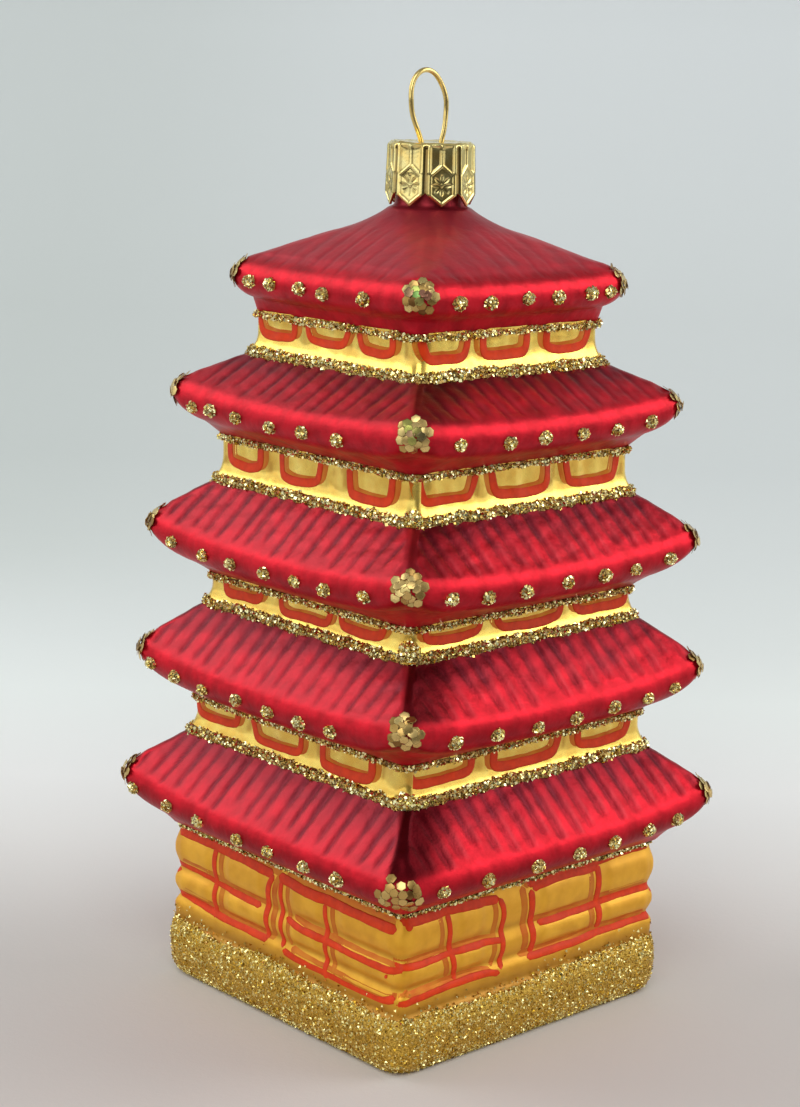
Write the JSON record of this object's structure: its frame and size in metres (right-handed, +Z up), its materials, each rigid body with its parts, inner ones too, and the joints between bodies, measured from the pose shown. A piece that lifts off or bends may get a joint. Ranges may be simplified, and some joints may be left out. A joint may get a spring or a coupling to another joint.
{
  "type": "blown glass pagoda tree ornament",
  "caption": "Hollow blown glass tree ornament in the form of a square pagoda with stacked upswept roofs, glitter bands, sequin corners, a crown cap and a wire hanging loop.",
  "frame": {"origin": "centre of the flat base, where the ornament stands", "axes": "+Z up through the neck and the hanging loop; the four faces look along +X, -X, +Y and -Y"},
  "size_m": [0.0706, 0.0706, 0.146],
  "materials": {
    "painted_glass": "silvered inside, satin red lacquer on the roofs and gold lacquer on the walls",
    "gold_glitter": "gold glitter flakes set in glue",
    "gold_sequins": "metallised gold film sequins",
    "bright_brass": "bright polished"
  },
  "bodies": {
    "ornament": {"glass_body": "painted_glass", "base_glitter_band": "gold_glitter", "eave_glitter_band_1": "gold_glitter", "eave_glitter_band_2": "gold_glitter", "eave_glitter_band_3": "gold_glitter", "eave_glitter_band_4": "gold_glitter", "eave_glitter_band_5": "gold_glitter", "foot_glitter_band_2": "gold_glitter", "foot_glitter_band_3": "gold_glitter", "foot_glitter_band_4": "gold_glitter", "foot_glitter_band_5": "gold_glitter", "corner_sequins_1_1": "gold_sequins", "corner_sequins_1_2": "gold_sequins", "corner_sequins_1_3": "gold_sequins", "corner_sequins_1_4": "gold_sequins", "corner_sequins_2_1": "gold_sequins", "corner_sequins_2_2": "gold_sequins", "corner_sequins_2_3": "gold_sequins", "corner_sequins_2_4": "gold_sequins", "corner_sequins_3_1": "gold_sequins", "corner_sequins_3_2": "gold_sequins", "corner_sequins_3_3": "gold_sequins", "corner_sequins_3_4": "gold_sequins", "corner_sequins_4_1": "gold_sequins", "corner_sequins_4_2": "gold_sequins", "corner_sequins_4_3": "gold_sequins", "corner_sequins_4_4": "gold_sequins", "corner_sequins_5_1": "gold_sequins", "corner_sequins_5_2": "gold_sequins", "corner_sequins_5_3": "gold_sequins", "corner_sequins_5_4": "gold_sequins"},
    "cap": {"crown_cap": "bright_brass", "hanger_wire": "bright_brass"}
  },
  "joints": [
    {"name": "cap_swivel", "type": "hinge", "parent": "ornament", "child": "cap", "pos_m": [0, 0, 0.13], "axis": [0, 0, 1], "continuous": true}
  ]
}
